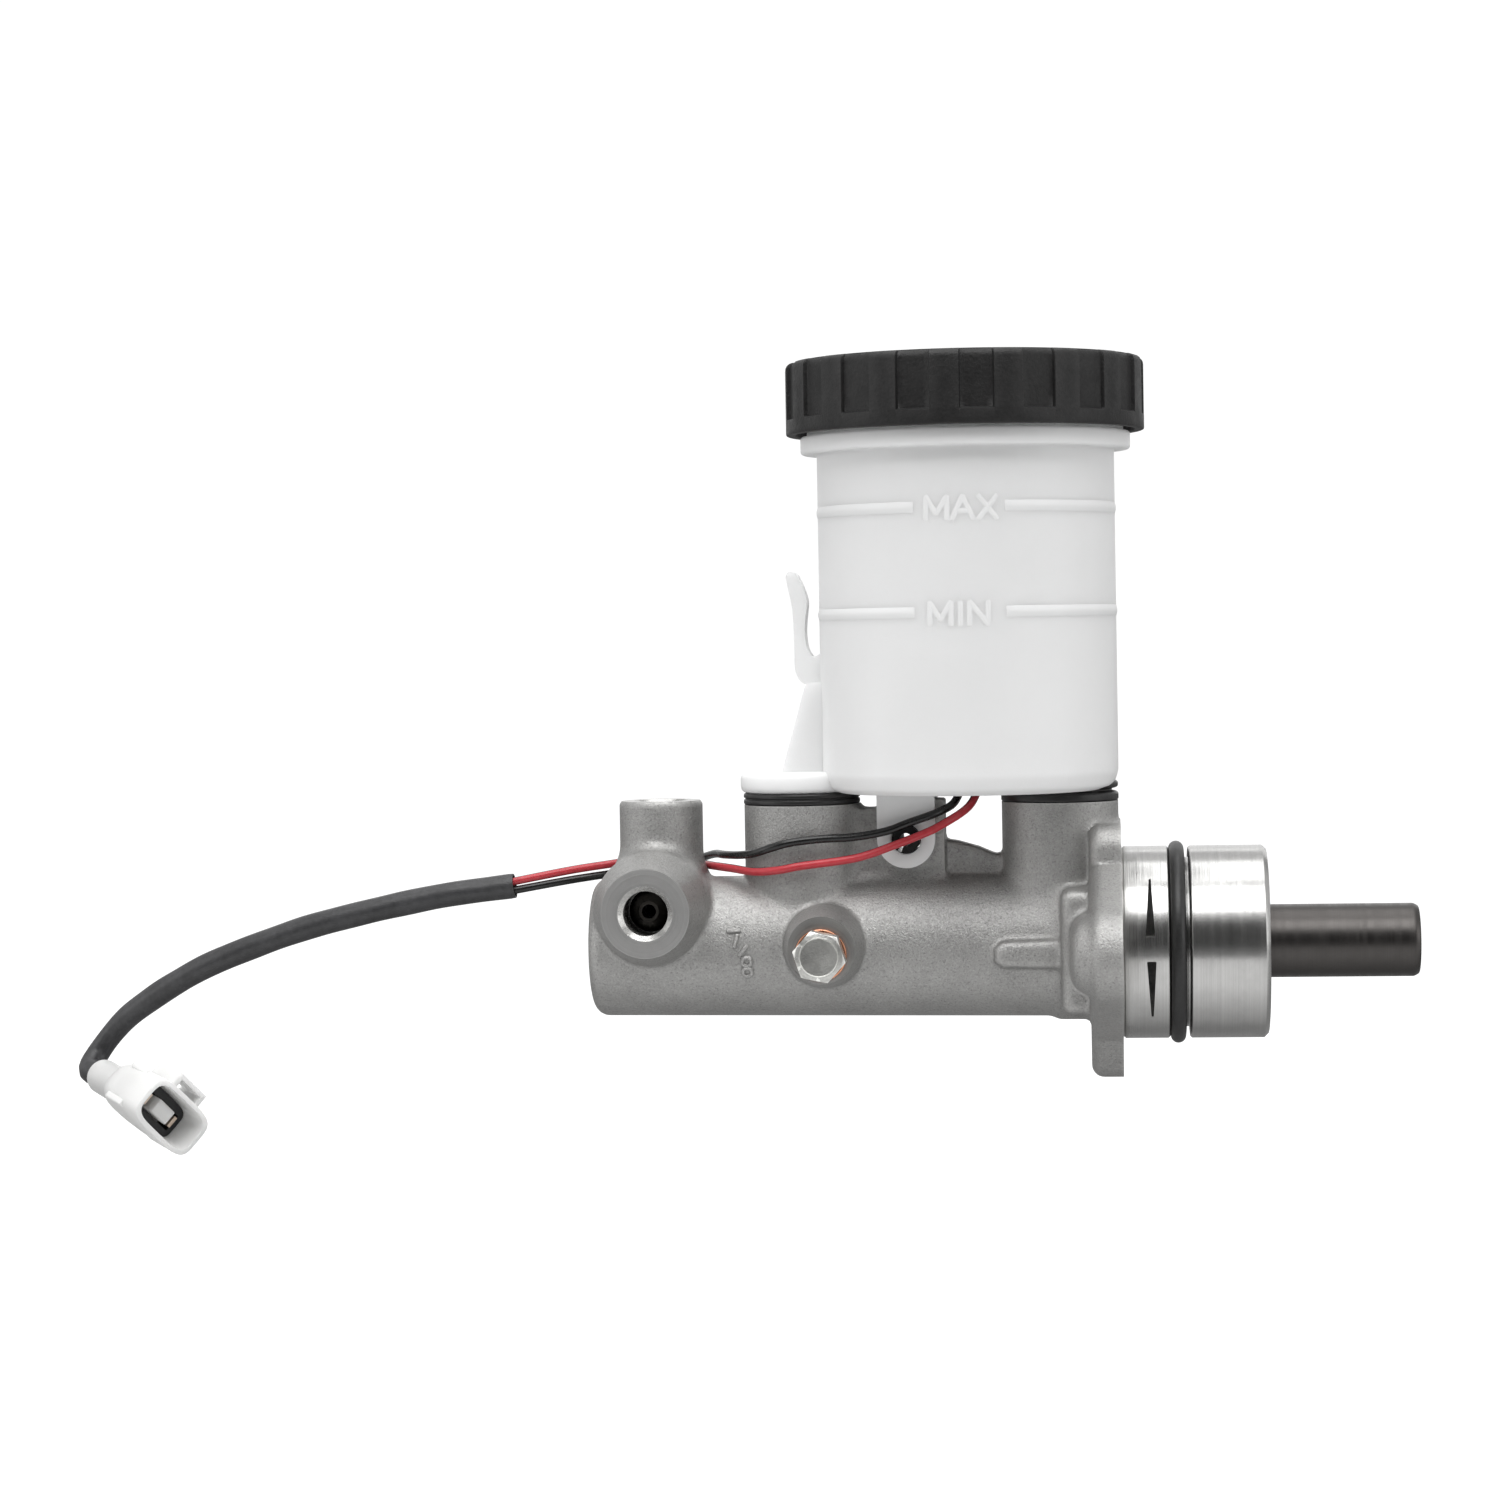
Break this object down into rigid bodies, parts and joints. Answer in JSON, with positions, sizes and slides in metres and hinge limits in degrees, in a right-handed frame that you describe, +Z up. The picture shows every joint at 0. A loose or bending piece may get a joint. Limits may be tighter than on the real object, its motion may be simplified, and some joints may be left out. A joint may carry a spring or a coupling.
{
  "type": "brake master cylinder",
  "caption": "Tandem brake master cylinder with flange, push rod, outlet ports, fluid reservoir with screw cap and level switch lead.",
  "frame": {"origin": "centre of the flange's rear mounting face, on the bore axis", "axes": "+X along the bore towards the push rod end, +Z up to the reservoir cap, -Y towards the side with the stop bolt"},
  "size_m": [0.2923, 0.082, 0.1672],
  "materials": {
    "cast_aluminium": "sand-cast and blasted, machined spigot",
    "black_rubber": "matt",
    "zinc_plated_steel": "zinc plated",
    "copper": null,
    "seat_brass": "plain",
    "dark_rod_steel": "dark coated",
    "piston_aluminium": "turned",
    "plain_steel": "plain",
    "spring_steel": "oiled",
    "blackened_steel": "blackened",
    "white_polypropylene": "translucent, satin",
    "black_cap_plastic": "fine grain",
    "float_foam": "foam",
    "magnet_ferrite": null,
    "clip_plastic": "plain",
    "switch_epoxy": "potted",
    "red_pvc": "satin",
    "black_pvc": "satin",
    "sleeve_vinyl": "soft vinyl",
    "connector_nylon": "satin",
    "insert_plastic": "matt",
    "terminal_tin": "tinned"
  },
  "bodies": {
    "casting": {"cylinder_body": "cast_aluminium", "spigot_o_ring": "black_rubber", "stop_bolt": "zinc_plated_steel", "stop_bolt_washer": "copper", "tube_seat_near": "seat_brass", "tube_seat_far": "seat_brass", "tube_seat_top": "seat_brass", "piston_stop_ring": "plain_steel", "snap_ring": "spring_steel", "reservoir": "white_polypropylene", "front_grommet": "black_rubber", "rear_grommet": "black_rubber", "reservoir_pin": "blackened_steel", "float_clip": "clip_plastic", "reed_switch": "switch_epoxy", "secondary_spring": "spring_steel", "wire_red": "red_pvc", "wire_black": "black_pvc", "cable_sleeve": "sleeve_vinyl", "connector_housing": "connector_nylon", "connector_insert": "insert_plastic", "terminal_left": "terminal_tin", "terminal_right": "terminal_tin"},
    "primary": {"primary_piston": "dark_rod_steel", "primary_front_cup": "black_rubber", "primary_rear_cup": "black_rubber", "primary_spring_washer": "plain_steel", "retainer_screw": "plain_steel"},
    "secondary": {"secondary_piston": "piston_aluminium", "secondary_front_cup": "black_rubber", "secondary_rear_cup": "black_rubber", "secondary_spring_washer": "plain_steel", "spring_retainer": "plain_steel", "primary_spring": "spring_steel"},
    "float": {"level_float": "float_foam", "float_magnet": "magnet_ferrite"},
    "seal": {"cap_seal": "black_rubber"},
    "cap": {"reservoir_cap": "black_cap_plastic"}
  },
  "joints": [
    {"name": "primary_slide", "type": "slide", "parent": "casting", "child": "primary", "axis": [-1, 0, 0], "range_m": [0, 0.021], "stiffness_N_per_m": 1500, "deforming": ["primary_spring"]},
    {"name": "secondary_slide", "type": "slide", "parent": "casting", "child": "secondary", "axis": [-1, 0, 0], "range_m": [0, 0.0105], "stiffness_N_per_m": 1500, "deforming": ["secondary_spring"]},
    {"name": "float_slide", "type": "slide", "parent": "casting", "child": "float", "axis": [0, 0, 1], "range_m": [0, 0.016]},
    {"name": "cap_lift", "type": "slide", "parent": "casting", "child": "seal", "axis": [0, 0, 1], "range_m": [0, 0.006]},
    {"name": "cap_turn", "type": "hinge", "parent": "seal", "child": "cap", "pos_m": [-0.03165, 0, 0.1082], "axis": [0, 0, 1], "range_deg": [0, 540]}
  ],
  "couplings": [
    {"joint": "secondary_slide", "follows": "primary_slide", "ratio": 0.5},
    {"joint": "cap_lift", "follows": "cap_turn", "m_per_rad": 0.00063662}
  ]
}
